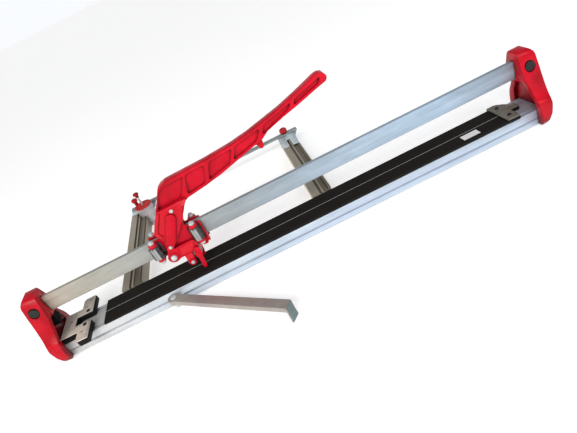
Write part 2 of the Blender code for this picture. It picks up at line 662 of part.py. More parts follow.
def lever_cover():
    top, bottom, radius = (-190, 155.5), (-212.5, 116), 8.8
    lean = math.degrees(math.atan2(top[1] - bottom[1], top[0] - bottom[0]))
    outline = arc(top, radius, lean - 90, lean + 90, 8) + arc(bottom, radius, lean + 90, lean + 270, 8)
    out = YOKE_OUT + GAP
    made = prism("lever_cover", [outline], -out - 3.6, -out, FACING_Y)
    add_bevel(made, 1.2)
    finish(made, "red_paint")
    for name, (x, z) in COVER_SCREWS.items():
        profile = [(0, 2.6), (2.2, 2.4), (3.4, 1.2), (3.6, GAP), (1.5, GAP), (1.5, -4.4), (0, -4.4)]
        finish(turned(name, profile, (x, -YOKE_OUT, z), "Y", 16), "zinc")


def wheel_carrier():
    """A block under the fork with two cheeks that hold the cutting wheel."""
    top, seat = 75 - GAP, 64.0
    made = box("wheel_carrier", (-207.5, -YOKE_OUT, seat), (-193.5, YOKE_OUT, top))
    cheek = [(-207, 70), (-209.5, 57)] + arc((WHEEL_X, WHEEL_Z), 6.5, 180, 340, 8) + [(-194, 70)]
    join(made, prism("cheeks", [cheek], -9.5, 9.5, FACING_Y))
    cut(made, box("wheel_slot", (-218, -3.2, 30), (-188, 3.2, WHEEL_Z + WHEEL_R + 1.6)))
    cut(made, cylinder("axle_hole", (WHEEL_X, 0, WHEEL_Z), 2.8, 40, "Y", 16))
    finish(made, "red_paint", 30)
    rim = [(2.8, 2.6), (6, 2.6), (WHEEL_R, 0), (6, -2.6), (2.8, -2.6)]
    finish(turned("cutting_wheel", rim, (WHEEL_X, 0, WHEEL_Z), "Y", 32, closed=True), "chrome")
    pin = [(0, 12), (2.4, 11.8), (3.6, 10.4), (3.8, 9.5 + GAP), (2.4, 9.5 + GAP), (2.4, -9.5 - GAP),
           (3.8, -9.5 - GAP), (3.6, -10.4), (2.4, -11.8), (0, -12)]
    finish(turned("wheel_axle", pin, (WHEEL_X, 0, WHEEL_Z), "Y", 16), "zinc")


def breaker_foot():
    """Two prongs beside the wheel line that press the scored tile until it breaks."""
    low, high, reach = 64.0, 75 - GAP, 22.6
    made = box("breaker_foot", (-188, -reach, low), (-176.5, reach, high))
    tip = arc((-184.2, 40.6), 3.4, 180, 355, 8)
    prong = [(-175.6, 76), (-176.2, 82), (-179, 84.5), (-182.5, 84.5), (-185.2, 82), (-185.8, 72)] + tip
    for side in (-1, 1):
        a, b = sorted((side * (YOKE_OUT + 0.4), side * (reach + 0.5)))
        join(made, prism("prong", [prong], a, b, FACING_Y))
    finish(made, "red_paint", 30)


def build():
    base_extrusion()
    base_rubber_strip()
    pads()
    bracket("bracket_left", -1)
    bracket("bracket_right", 1)
    guide_rail()
    rail_bolts()
    layered_stop(("fence_block", "fence_plate"), (fence_outline(0), fence_outline(1)), FENCE_TOP,
                 FENCE_SCREWS, "black_plastic")
    layered_stop(("stop_block", "stop_plate"), (stop_outline(), stop_outline()), STOP_TOP,
                 STOP_SCREWS, "black_plastic")
    laser_unit()
    swing_arm()
    swing_arm_mount()
    support_arm("arm_left", ARM_LEFT_X, foot=True)
    support_arm("arm_right", ARM_RIGHT_X)
    arm_hinge("arm_hinge_left", ARM_LEFT_X)
    arm_hinge("arm_hinge_right", ARM_RIGHT_X)
    arm_plates()
    cross_bar()
    bar_knob("bar_knob_left", ARM_LEFT_X, 14, 0.78)
    bar_knob("bar_knob_right", ARM_RIGHT_X, 2, 1.0)
    levelling_foot()
    side_plate("trolley_plate_front", -1)
    side_plate("trolley_plate_rear", 1)
    guide_rollers()
    trolley_core()
    lever()
    lever_cover()
    wheel_carrier()
    breaker_foot()


clear_scene()
PARTS = new_collection("tile_cutter")
FINISHES = {
    "red_paint": material("red_paint", (0.75, 0.02, 0.035), 0.38),
    "red_plastic": material("red_plastic", (0.6, 0.03, 0.04), 0.42),
    "base_aluminium": material("base_aluminium", (0.78, 0.82, 0.88), 0.35, 0.9),
    "rail_aluminium": material("rail_aluminium", (0.62, 0.63, 0.63), 0.4, 0.9),
    "arm_aluminium": material("arm_aluminium", (0.45, 0.4, 0.32), 0.45, 0.8),
    "bar_steel": material("bar_steel", (0.45, 0.48, 0.47), 0.4, 0.9),
    "steel_plate": material("steel_plate", (0.42, 0.4, 0.36), 0.45, 0.8),
    "zinc": material("zinc", (0.62, 0.64, 0.6), 0.35, 0.9),
    "chrome": material("chrome", (0.8, 0.8, 0.8), 0.12, 1.0),
    "black_steel": material("black_steel", (0.02, 0.02, 0.02), 0.4, 0.6),
    "black_plastic": material("black_plastic", (0.015, 0.015, 0.015), 0.5),
    "grey_clear": material("grey_clear", (0.55, 0.53, 0.55), 0.3),
    "lens_glass": material("lens_glass", (0.3, 0.02, 0.02), 0.1),
    "rubber": material("rubber", (0.02, 0.018, 0.015), 0.8),
}
build()
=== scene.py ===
import json
import math

import bmesh
import bpy
from mathutils import Matrix, Vector


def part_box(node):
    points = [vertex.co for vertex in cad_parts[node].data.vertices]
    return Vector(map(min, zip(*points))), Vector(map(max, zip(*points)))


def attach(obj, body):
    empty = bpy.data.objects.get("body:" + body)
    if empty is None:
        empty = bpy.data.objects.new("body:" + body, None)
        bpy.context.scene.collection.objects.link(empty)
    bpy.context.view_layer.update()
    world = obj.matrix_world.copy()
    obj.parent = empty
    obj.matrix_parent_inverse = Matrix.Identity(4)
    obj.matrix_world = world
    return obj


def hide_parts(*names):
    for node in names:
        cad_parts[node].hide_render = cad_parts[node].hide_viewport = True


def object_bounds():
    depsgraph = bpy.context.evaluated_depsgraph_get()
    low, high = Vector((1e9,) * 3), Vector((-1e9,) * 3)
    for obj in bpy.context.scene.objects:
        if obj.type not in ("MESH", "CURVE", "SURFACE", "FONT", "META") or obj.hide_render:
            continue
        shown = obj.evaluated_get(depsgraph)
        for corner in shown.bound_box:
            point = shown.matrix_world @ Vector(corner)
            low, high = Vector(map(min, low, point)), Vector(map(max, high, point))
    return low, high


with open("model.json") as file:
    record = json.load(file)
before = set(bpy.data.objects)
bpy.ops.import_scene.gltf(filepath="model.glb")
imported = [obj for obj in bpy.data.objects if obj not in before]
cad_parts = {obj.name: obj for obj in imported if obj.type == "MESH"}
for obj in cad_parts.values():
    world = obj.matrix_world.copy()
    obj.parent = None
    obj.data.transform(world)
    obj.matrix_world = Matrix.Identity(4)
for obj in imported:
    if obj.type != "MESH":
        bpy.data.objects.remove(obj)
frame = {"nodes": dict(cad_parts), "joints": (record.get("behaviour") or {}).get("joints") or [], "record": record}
CAD_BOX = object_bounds()
MM = 0.001
NODES = frame["nodes"]
BODIES = frame["record"]["behaviour"]["bodies"]
BODY_OF = {node: body for body, nodes in BODIES.items() for node in nodes}
SLOT_OF = {part["node"]: part["material_slot"] for part in frame["record"]["subparts"]}
PIVOT_OF = {joint["name"]: Vector(joint["pos_m"]) for joint in frame["joints"] if "pos_m" in joint}


def box_mm(node):
    """A node's lowest and highest corners, in millimetres."""
    low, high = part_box(node)
    return low / MM, high / MM


# ---- Materials -------------------------------------------------------------------------------

SHADE_SAMPLES = 6
# The span along X of the painted reflections on the base and rail.
PAINTED_REFLECTION_SPAN = (-0.5, 0.5)  # metres along X
# A bright red for a painted highlight along sharp edges, with some rubbed wear, and a deep red for painted shade
# in recesses.
EDGE_HIGHLIGHT_RED, PAINTED_SHADE_RED = (0.95, 0.06, 0.06), (0.09, 0.0005, 0.002)
WORN_STEEL = (0.20, 0.21, 0.22)
# A near-black brown for the painted shade in the arms' corners.
ARM_PAINTED_SHADE = (0.03, 0.025, 0.018)


def times(colour, share):
    """A colour made darker, or brighter, by a share of itself."""
    return tuple(share * part for part in colour)


class Look:
    """A procedural material, built up one node at a time round a Principled shader."""

    def __init__(self, name):
        self.material = bpy.data.materials.new(name)
        self.material.use_nodes = True
        self.tree = self.material.node_tree
        self.shader = self.tree.nodes["Principled BSDF"]
        coords = self.tree.nodes.new("ShaderNodeTexCoord")
        self.where = coords.outputs["Object"]
        self.bumps = []

    def put(self, kind, **inputs):
        """A new node, with each named input wired to a socket or set to a value."""
        made = self.tree.nodes.new(kind)
        for key, value in inputs.items():
            socket = made.inputs[key.replace("_", " ")]
            if isinstance(value, bpy.types.NodeSocket):
                self.tree.links.new(value, socket)
            else:
                socket.default_value = value
        return made

    def noise(self, scale, stretch=(1, 1, 1), detail=4.0, roughness=0.55):
        """Cloudy noise, 0 to 1, drawn out along the axis where stretch is lowest."""
        place = self.put("ShaderNodeMapping", Vector=self.where, Scale=stretch).outputs["Vector"]
        made = self.put("ShaderNodeTexNoise", Vector=place, Scale=scale, Detail=detail,
                        Roughness=roughness)
        return made.outputs["Fac"]

    def ramp(self, factor, stops):
        """Colours along a factor: each stop is a place from 0 to 1 and its colour."""
        made = self.put("ShaderNodeValToRGB", Fac=factor)
        ramp = made.color_ramp
        while len(ramp.elements) < len(stops):
            ramp.elements.new(0.5)
        for element, (place, colour) in zip(ramp.elements, stops):
            element.position = place
            element.color = (*colour, 1)
        return made.outputs["Color"]

    def level(self, factor, low, high, start=0.0, end=1.0):
        """Low up to start, high from end on, and a straight change between them."""
        made = self.put("ShaderNodeMapRange", Value=factor)
        for key, value in (("From Min", start), ("From Max", end), ("To Min", low), ("To Max", high)):
            made.inputs[key].default_value = value
        return made.outputs["Result"]

    def mix(self, factor, first, second, how="MIX"):
        """The first colour where the factor is 0, and the second where it is 1."""
        made = self.tree.nodes.new("ShaderNodeMix")
        made.data_type = "RGBA"
        made.blend_type = how
        for index, value in ((0, factor), (6, first), (7, second)):
            if isinstance(value, bpy.types.NodeSocket):
                self.tree.links.new(value, made.inputs[index])
            else:
                made.inputs[index].default_value = value if index == 0 else (*value, 1)
        return made.outputs[2]

    def clouded(self, cloud, dark, pale, start=0.3, end=0.7):
        """Dark where the noise is under start, pale where it is over end."""
        return self.mix(self.level(cloud, 0.0, 1.0, start, end), dark, pale)

    def along_x(self, low, high):
        """0 to 1 along X between two places, in metres."""
        split = self.put("ShaderNodeSeparateXYZ", Vector=self.where)
        return self.level(split.outputs["X"], 0.0, 1.0, low, high)

    def edges(self, low=0.52, high=0.62):
        """0 to 1 as a surface turns from hollow to sharp: about a half on flat faces."""
        pointy = self.tree.nodes.new("ShaderNodeNewGeometry").outputs["Pointiness"]
        return self.level(pointy, 0.0, 1.0, low, high)

    def shade(self, reach, low=0.35, high=0.9):
        """1 in a recess or against a neighbour within reach, in millimetres, and 0 in the open: the mask for
        painted shade.
        """
        made = self.put("ShaderNodeAmbientOcclusion", Distance=reach * MM)
        made.samples = SHADE_SAMPLES
        return self.level(made.outputs["AO"], 1.0, 0.0, low, high)

    def bump(self, height, strength, distance):
        """Raises the surface by height, from 0 to 1, times a distance in millimetres."""
        self.bumps.append((height, strength, distance * MM))

    def done(self, colour, roughness, metallic=0.0, **fixed):
        """The finished material. The fixed values go on the shader's own sockets."""
        shader = self.shader
        for key, value in (("Base Color", colour), ("Roughness", roughness)):
            if isinstance(value, bpy.types.NodeSocket):
                self.tree.links.new(value, shader.inputs[key])
            else:
                shader.inputs[key].default_value = value
        shader.inputs["Metallic"].default_value = metallic
        for key, value in fixed.items():
            shader.inputs[key.replace("_", " ")].default_value = value
        normal = None
        for height, strength, distance in self.bumps:
            step = self.put("ShaderNodeBump", Height=height, Strength=strength, Distance=distance)
            if normal:
                self.tree.links.new(normal, step.inputs["Normal"])
            normal = step.outputs["Normal"]
        if normal:
            self.tree.links.new(normal, shader.inputs["Normal"])
        return self.material


def red_paint(name, bright=(0.66, 0.001, 0.020), deep=(0.46, 0.0005, 0.012), gloss=0.30, shine=0.16,
              reach=7):
    """Powder coat: a little orange peel, dull patches, a painted highlight along sharp edges with some rubbed
    wear, and painted shade in recesses.
    """
    look = Look(name)
    colour = look.clouded(look.noise(28, detail=5), deep, bright, 0.35, 0.65)
    # Painted highlight, with some rubbed wear: sharp edges mixed towards a bright red.
    colour = look.mix(look.level(look.edges(0.53, 0.62), 0.0, 0.45), colour, EDGE_HIGHLIGHT_RED)
    # Painted shade: recesses and places close to other parts darkened to a deep red.
    colour = look.mix(look.shade(reach, 0.3, 0.85), colour, PAINTED_SHADE_RED)
    look.bump(look.noise(900, detail=2), 0.06, 0.3)
    rough = look.level(look.noise(60, detail=6), gloss - 0.06, gloss + 0.16, 0.3, 0.7)
    return look.done(colour, rough, Specular_IOR_Level=shine)


def brushed_metal(name, pale, dark, grain, roughness, metallic, scratches=0.35, painted_reflection=None):
    """Metal drawn along X: fine lines, broad cloudy stains, painted shade in its corners, a few scratches and,
    when given, a painted reflection along X.
    """
    look = Look(name)
    lines = look.noise(grain, (1.6, 150, 150), detail=3)
    cloud = look.noise(4, (3, 14, 14), detail=6, roughness=0.62)
    colour = look.clouded(cloud, dark, pale, 0.32, 0.68)
    # Painted reflection: the colour multiplied by a ramp along X.
    if painted_reflection:
        colour = look.mix(1.0, colour, look.ramp(look.along_x(*PAINTED_REFLECTION_SPAN), painted_reflection), "MULTIPLY")
    colour = look.mix(look.level(lines, 0.0, 0.45, 0.35, 0.75), colour, times(dark, 0.6))
    # Painted shade: corners and places close to other parts darkened.
    colour = look.mix(look.shade(4, 0.3, 0.75), colour, times(dark, 0.12))
    nicks = look.noise(42, (1, 6, 6), detail=8, roughness=0.7)
    marks = look.level(nicks, 0.0, scratches, 0.62, 0.70)
    colour = look.mix(marks, colour, times(dark, 0.35))
    look.bump(lines, 0.10, 0.4)
    look.bump(marks, 0.12, 0.5)
    rough = look.level(cloud, roughness - 0.08, roughness + 0.14, 0.3, 0.7)
    return look.done(colour, rough, metallic)


def polished_with_painted_reflection(name):
    """Ground roller steel: upright bands of painted reflection, light and dark, with faint wear round it."""
    look = Look(name)
    # Painted reflection: greys picked by which way each face points along X, so the bands stay fixed on the
    # roller.
    normal = look.put("ShaderNodeTexCoord").outputs["Normal"]
    facing = look.put("ShaderNodeSeparateXYZ", Vector=normal).outputs["X"]
    greys = ((0.0, 0.02), (0.22, 0.05), (0.34, 0.70), (0.44, 0.22), (0.56, 0.45), (0.68, 0.05),
             (1.0, 0.015))
    stops = [(place, (grey, grey, grey)) for place, grey in greys]
    painted_reflection_bands = look.ramp(look.level(facing, 0.0, 1.0, -1.0, 1.0), stops)
    wear = look.noise(40, (1, 1, 8), detail=5)
    colour = look.mix(look.level(wear, 0.0, 0.35, 0.4, 0.7), painted_reflection_bands, WORN_STEEL)
    look.bump(look.noise(60, (0.4, 0.4, 12), detail=3), 0.08, 0.3)
    return look.done(colour, look.level(wear, 0.12, 0.30, 0.3, 0.7), 0.6)


def plated(name, pale, dark, roughness, metallic, scale=60):
    """Plated or rolled steel: cloudy patches, small dark specks and uneven gloss."""
    look = Look(name)
    colour = look.clouded(look.noise(scale, detail=6, roughness=0.65), dark, pale)
    specks = look.level(look.noise(320, detail=3), 0.0, 0.5, 0.6, 0.72)
    colour = look.mix(specks, colour, times(dark, 0.4))
    look.bump(look.noise(500, detail=3), 0.06, 0.3)
    rough = look.level(look.noise(90, detail=5), roughness - 0.08, roughness + 0.18, 0.3, 0.7)
    return look.done(colour, rough, metallic)


def plastic(name, pale, dark, roughness, **fixed):
    """Moulded plastic with a fine grain and paler edges."""
    look = Look(name)
    colour = look.clouded(look.noise(70, detail=5), dark, pale)
    # Sharp edges are mixed towards a paler colour.
    paler_edge_colour = tuple(min(1, 1.6 * part + 0.02) for part in pale)
    colour = look.mix(look.level(look.edges(), 0.0, 0.25), colour, paler_edge_colour)
    look.bump(look.noise(1100, detail=2), 0.12, 0.3)
    rough = look.level(look.noise(110, detail=4), roughness - 0.08, roughness + 0.12, 0.3, 0.7)
    return look.done(colour, rough, **fixed)


def rubber(name):
    """Matt black rubber: a rough skin, dust in the grain and pale scuffs."""
    look = Look(name)
    black, dusty, scuffed = (0.0085, 0.007, 0.006), (0.018, 0.015, 0.012), (0.06, 0.05, 0.045)
    dust = look.noise(9, (2, 9, 9), detail=8, roughness=0.7)
    colour = look.clouded(dust, black, dusty, 0.35, 0.75)
    scuffs = look.noise(55, (1, 3, 3), detail=8, roughness=0.75)
    colour = look.mix(look.level(scuffs, 0.0, 0.5, 0.66, 0.74), colour, scuffed)
    look.bump(look.noise(700, detail=3), 0.35, 0.4)
    rough = look.level(dust, 0.62, 0.86, 0.3, 0.7)
    return look.done(colour, rough, Specular_IOR_Level=0.12)


def drawn_along_y(name, pale, dark):
    """Warm satin aluminium: fine lines along the arm, cloudy stains and painted shade in its corners."""
    look = Look(name)
    cloud = look.noise(10, (6, 2, 6), detail=6, roughness=0.65)
    colour = look.clouded(cloud, dark, pale)
    lines = look.noise(8, (90, 1.4, 90), detail=3)
    colour = look.mix(look.level(lines, 0.0, 0.3, 0.45, 0.75), colour, times(dark, 0.6))
    # Painted shade: corners and places close to other parts darkened.
    colour = look.mix(look.shade(6, 0.3, 0.85), colour, ARM_PAINTED_SHADE)
    look.bump(lines, 0.08, 0.4)
    return look.done(colour, look.level(cloud, 0.34, 0.48, 0.3, 0.7), 0.45)


def milky_plastic(name):
    """Grey plastic that lets some light through, under a clear skin."""
    look = Look(name)
    cloud = look.noise(45, detail=5)
    colour = look.clouded(cloud, (0.40, 0.38, 0.39), (0.62, 0.58, 0.60))
    look.bump(look.noise(300, detail=2), 0.08, 0.5)
    return look.done(colour, look.level(cloud, 0.18, 0.34, 0.3, 0.7), Transmission_Weight=0.35,
                     IOR=1.42, Coat_Weight=0.3)


# Painted reflections along X, over the span above: colours multiplied into the metal, warm at the left end and
# bluish at the right.
BASE_PAINTED_REFLECTION = [(0.04, (1.15, 1.0, 0.85)), (0.35, (0.98, 0.98, 0.97)), (0.6, (0.92, 0.95, 0.98)),
             (0.95, (0.98, 1.0, 1.02))]
RAIL_PAINTED_REFLECTION = [(0.03, (1.30, 1.02, 0.74)), (0.2, (0.90, 0.80, 0.66)), (0.4, (0.72, 0.72, 0.68)),
             (0.6, (0.86, 0.96, 1.05)), (0.82, (1.0, 1.16, 1.32)), (0.96, (0.66, 0.70, 0.76))]

# One look for each of the record's material slots.
LOOKS = {
    "red_paint": red_paint("red_paint_look"),
    "chrome": polished_with_painted_reflection("chrome_look"),
    "red_plastic": red_paint("red_plastic_look", (0.45, 0.006, 0.012), (0.24, 0.003, 0.006), gloss=0.34),
    "base_aluminium": brushed_metal("base_aluminium_look", (0.66, 0.74, 0.84), (0.50, 0.58, 0.68),
                                    grain=9, roughness=0.42, metallic=0.35, scratches=0.30,
                                    painted_reflection=BASE_PAINTED_REFLECTION),
    "rail_aluminium": brushed_metal("rail_aluminium_look", (0.50, 0.56, 0.62), (0.34, 0.39, 0.43),
                                    grain=8, roughness=0.40, metallic=0.25, scratches=0.2,
                                    painted_reflection=RAIL_PAINTED_REFLECTION),
    "arm_aluminium": drawn_along_y("arm_aluminium_look", (0.56, 0.50, 0.40), (0.46, 0.41, 0.32)),
    "bar_steel": brushed_metal("bar_steel_look", (0.50, 0.57, 0.58), (0.26, 0.30, 0.30), grain=8,
                               roughness=0.38, metallic=0.4),
    "steel_plate": plated("steel_plate_look", (0.76, 0.67, 0.57), (0.58, 0.52, 0.45), roughness=0.5,
                          metallic=0.1, scale=50),
    "zinc": plated("zinc_look", (0.66, 0.72, 0.73), (0.46, 0.50, 0.51), roughness=0.34, metallic=0.3),
    "black_steel": plated("black_steel_look", (0.012, 0.012, 0.012), (0.006, 0.006, 0.006),
                          roughness=0.45, metallic=0.2),
    "black_plastic": plastic("black_plastic_look", (0.006, 0.006, 0.006), (0.003, 0.003, 0.003),
                             roughness=0.5, Specular_IOR_Level=0.1),
    "grey_clear": milky_plastic("grey_clear_look"),
    "lens_glass": plastic("lens_glass_look", (0.22, 0.008, 0.01), (0.10, 0.003, 0.004), roughness=0.1,
                          Coat_Weight=0.8),
    "rubber": rubber("rubber_look"),
}

# Looks of single pieces that differ from the rest of their slot.
# The wide reach spreads the painted shade over the inside of the brackets.
BRACKET_LOOK = red_paint("bracket_look", (0.58, 0.001, 0.015), (0.36, 0.0005, 0.008), gloss=0.26,
                         shine=0.2, reach=40)
PLATE_LOOK = plated("arm_plate_look", (0.74, 0.86, 0.90), (0.52, 0.62, 0.66), roughness=0.34,
                    metallic=0.15, scale=40)
STOP_LOOK = plated("stop_plate_look", (0.24, 0.23, 0.19), (0.15, 0.14, 0.12), roughness=0.45,
                   metallic=0.3, scale=50)
SWING_LOOK = plated("swing_arm_look", (0.42, 0.41, 0.36), (0.33, 0.28, 0.27), roughness=0.38,
                    metallic=0.3, scale=14)
# A darker copy of the arm look: painted shade on the +X side of each arm, beyond its slot.
SHADED_ARM_SIDE_LOOK = drawn_along_y("arm_shaded_side_look", (0.28, 0.24, 0.175), (0.21, 0.18, 0.13))
LABEL_LOOK = plastic("label_look", (0.80, 0.81, 0.80), (0.70, 0.71, 0.70), roughness=0.5)
FOOT_LOOK = plated("swing_foot_look", (0.17, 0.23, 0.23), (0.11, 0.15, 0.15), roughness=0.4,
                   metallic=0.5, scale=30)


# ---- Pieces ----------------------------------------------------------------------------------

SAME_POINT = 0.002 * MM
SHARP_ANGLE = math.radians(28)
RING_STEPS = 20


def place(made, node, look=None, instead=True):
    """Gives a piece a node's body and look, by default the look of the node's slot, and by default shows it
    instead of the node.
    """
    made.data.materials.clear()
    made.data.materials.append(look or LOOKS[SLOT_OF[node]])
    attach(made, BODY_OF[node])
    if instead:
        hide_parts(node)


def link(name, data):
    """A new object in the scene, for a mesh, a light or a camera."""
    made = bpy.data.objects.new(name, data)
    bpy.context.scene.collection.objects.link(made)
    return made


def clean(mesh, flat=1.0):
    """Joins a mesh's split corners, and its faces that meet within flat degrees of level."""
    shape = bmesh.new()
    shape.from_mesh(mesh)
    bmesh.ops.remove_doubles(shape, verts=shape.verts, dist=SAME_POINT)
    bmesh.ops.dissolve_limit(shape, angle_limit=math.radians(flat), verts=shape.verts, edges=shape.edges)
    bmesh.ops.recalc_face_normals(shape, faces=shape.faces)
    shape.to_mesh(mesh)
    shape.free()


def round_edges(made, width, segments=2):
    """Rounds every sharp edge, to a width in millimetres."""
    for polygon in made.data.polygons:
        polygon.use_smooth = True
    edge = made.modifiers.new("edges", "BEVEL")
    edge.width = width * MM
    edge.segments = segments
    edge.limit_method = "ANGLE"
    edge.angle_limit = SHARP_ANGLE
    edge.miter_outer = "MITER_ARC"
    edge.harden_normals = True


def soften(node, width, segments, look=None):
    """A CAD node's shape with its edges rounded, shown in its place."""
    mesh = NODES[node].data.copy()
    clean(mesh)
    made = link(node + "_look", mesh)
    round_edges(made, width, segments)
    place(made, node, look)


def prism(name, outlines, low, high, axis):
    """A mesh of flat outlines drawn out from low to high along an axis, all given in millimetres."""
    order = {"X": (2, 0, 1), "Y": (0, 2, 1), "Z": (0, 1, 2)}[axis]
    verts, faces = [], []
    for outline in outlines:
        count = len(outline)
        near = range(len(verts), len(verts) + count)
        far = range(near.stop, near.stop + count)
        for level in (low, high):
            for a, b in outline:
                point = (a, b, level)
                verts.append([point[i] * MM for i in order])
        faces += [tuple(near), tuple(reversed(far))]
        faces += [(near[i - 1], far[i - 1], far[i], near[i]) for i in range(count)]
    mesh = bpy.data.meshes.new(name)
    mesh.from_pydata(verts, [], faces)
    return mesh


def slab(name, outlines, low, high, axis, node, look=None, edge=0.3):
    """A prism with rounded edges, added to what a node's body carries."""
    mesh = prism(name, outlines, low, high, axis)
    clean(mesh, 0.1)
    made = link(name, mesh)
    if edge:
        round_edges(made, edge)
    place(made, node, look, instead=False)


def rectangle(left, right, near, far):
    """An outline from its limits, left to right and near to far."""
    return [(left, near), (right, near), (right, far), (left, far)]


def ring(centre, radius):
    """A round outline."""
    turns = [2 * math.pi * i / RING_STEPS for i in range(RING_STEPS)]
    return [(centre[0] + radius * math.cos(turn), centre[1] + radius * math.sin(turn)) for turn in turns]


# Nodes shown with rounded edges: the width in millimetres and the segments across it.
SOFTENED = {
    "bracket_left": (2.2, 3), "bracket_right": (2.2, 3),
    "lever": (1.0, 2), "lever_cover": (0.3, 1),
    "trolley_plate_front": (0.6, 2), "trolley_plate_rear": (0.6, 2), "trolley_bridge": (0.5, 1),
    "wheel_carrier": (1.0, 2), "breaker_foot": (1.2, 3),
    "fence_block": (0.5, 1), "fence_plate": (0.35, 2),
    "stop_block": (0.5, 1), "stop_plate": (0.35, 2),
    "laser_housing": (0.6, 2), "laser_switch": (0.3, 1),
    "arm_plate_left": (0.3, 1), "arm_plate_right": (0.3, 1),
    "arm_left": (0.4, 2), "arm_right": (0.4, 2),
    "arm_hinge_left": (0.4, 1), "arm_hinge_right": (0.4, 1),
    "swing_arm_lug": (0.6, 2), "foot_thumbscrew": (0.3, 1),
    "base_extrusion": (0.5, 2), "guide_rail": (0.5, 2), "cross_bar": (0.4, 1),
    "swing_arm": (1.4, 3),
}
OWN_LOOKS = {"swing_arm": SWING_LOOK, "bracket_left": BRACKET_LOOK, "bracket_right": BRACKET_LOOK,
             "stop_plate": STOP_LOOK, "arm_plate_left": PLATE_LOOK, "arm_plate_right": PLATE_LOOK}
PADS = ("pad_near", "pad_far")


def ribbed_pad(node):
    """A rubber pad whose top has chamfered sides and narrow grooves along it, in a node's place."""
    low, high = box_mm(node)
    ribs, groove_depth, chamfer = 9, 0.35, 0.8
    pitch = (high.y - low.y - 2 * chamfer) / ribs
    slope = 0.12 * pitch
    section = [(low.y, low.z), (low.y, high.z - chamfer), (low.y + chamfer, high.z)]
    for rib in range(1, ribs):
        groove = low.y + chamfer + pitch * rib
        section += [(groove - slope, high.z), (groove, high.z - groove_depth), (groove + slope, high.z)]
    section += [(high.y - chamfer, high.z), (high.y, high.z - chamfer), (high.y, low.z)]
    mesh = prism(node + "_look", [section], low.x, high.x, "X")
    clean(mesh)
    place(link(node + "_look", mesh), node)


def fork_ribs():
    """Raised edges, a raised foot panel and screw bosses on the faces of the lever's fork.

    The outlines are in X and Z. The fork's faces are this far from the middle, and every piece
    starts a little inside them.
    """
    face, sunk = 17, 0.2
    upper_left = [(-207.6, 173.4), (-229.6, 141.0), (-225.0, 129.5), (-219.8, 129.5), (-223.6, 140.4),
                  (-201.4, 173.4)]
    lower_left = [(-228.6, 97.5), (-225.2, 107.5), (-221.6, 107.5), (-224.4, 97.5)]
    right = [(-172.0, 147.5), (-167.6, 156.5), (-159.6, 167.2), (-163.6, 167.2), (-171.2, 157.4),
             (-175.6, 147.5)]
    panel = [(-211, 79), (-180.5, 79), (-182.2, 94.6), (-207, 94.6)]
    raised = (("edge_left", [upper_left, lower_left], 1.6), ("edge_right", [right], 1.4),
              ("panel", [panel], 1.1))
    for side, way in (("front", -1), ("rear", 1)):
        for name, outlines, height in raised:
            low, high = sorted((way * (face - sunk), way * (face + height)))
            slab(f"fork_{name}_{side}", outlines, low, high, "Y", "lever", edge=0.5)
    bosses = [ring((-182, 167), 6.2), ring((-220, 104), 5.4)]
    slab("fork_bosses", bosses, -face - sunk, -face + sunk, "Y", "lever", edge=0.1)


def sticker():
    """A blank pale label on the near pad."""
    top, thickness = box_mm("pad_near")[1].z, 0.25
    outline = rectangle(345, 378, -25, -8.5)
    slab("pad_sticker", [outline], top, top + thickness, "Z", "pad_near", LABEL_LOOK, edge=0)


def ruler_marks():
    """Fine dark marks along the fence plate's edge, with no figures, and four short black patches in it, painted
    shade standing for slots.
    """
    corner = box_mm("fence_plate")[1]
    top, edge, sunk = corner.z, corner.x - 1.5, 0.1
    first, pitch, each_way, half_width = 14, 5, 10, 0.3
    marks = []
    for way in (-1, 1):
        for step in range(each_way):
            y = way * (first + pitch * step)
            length = 3.4 if step % 2 else 2.2
            marks.append(rectangle(edge - length, edge, y - half_width, y + half_width))
    half_long, half_wide = 3.2, 0.9
    # Painted shade: black patches on the plate where short slots would be.
    slot_shade_patches = [rectangle(x - half_long, x + half_long, y - half_wide, y + half_wide)
             for x, y in ((-468, 6), (-441, 34), (-440, -38), (-433, 50))]
    for name, outlines, proud in (("fence_ticks", marks, 0.06), ("fence_slot_shade", slot_shade_patches, 0.05)):
        slab(name, outlines, top - sunk, top + proud, "Z", "fence_plate", LOOKS["black_steel"], edge=0)


def laser_painted_highlight():
    """A pale strip on the upper front edge of the laser's housing, a painted highlight."""
    front, proud, sunk = box_mm("laser_housing")[0].y, 0.6, 0.2
    outline = [(-490.2, 72.5), (-486.0, 72.5), (-486.0, 83.6), (-487.4, 84.6), (-490.2, 83.6)]
    slab("laser_painted_highlight_strip", [outline], front - proud, front + sunk, "Y", "laser_housing", LOOKS["zinc"],
         edge=0.2)


def bolt_caps():
    """Low caps in the sockets of the two rail bolts."""
    radius, recess, thickness = 4.5, 0.2, 3.2
    for side in ("left", "right"):
        node = f"rail_bolt_{side}"
        low, high = box_mm(node)
        centre = (low + high) / 2
        front = low.y + recess
        cap = ring((centre.x, centre.z), radius)
        slab(f"rail_bolt_cap_{side}", [cap], front, front + thickness, "Y", node, edge=0.4)


def second_look(node, look, where):
    """Gives another look to the faces of a node's shown piece whose middle passes the test."""
    mesh = bpy.data.objects[node + "_look"].data
    mesh.materials.append(look)
    for polygon in mesh.polygons:
        if where(polygon.center):
            polygon.material_index = 1


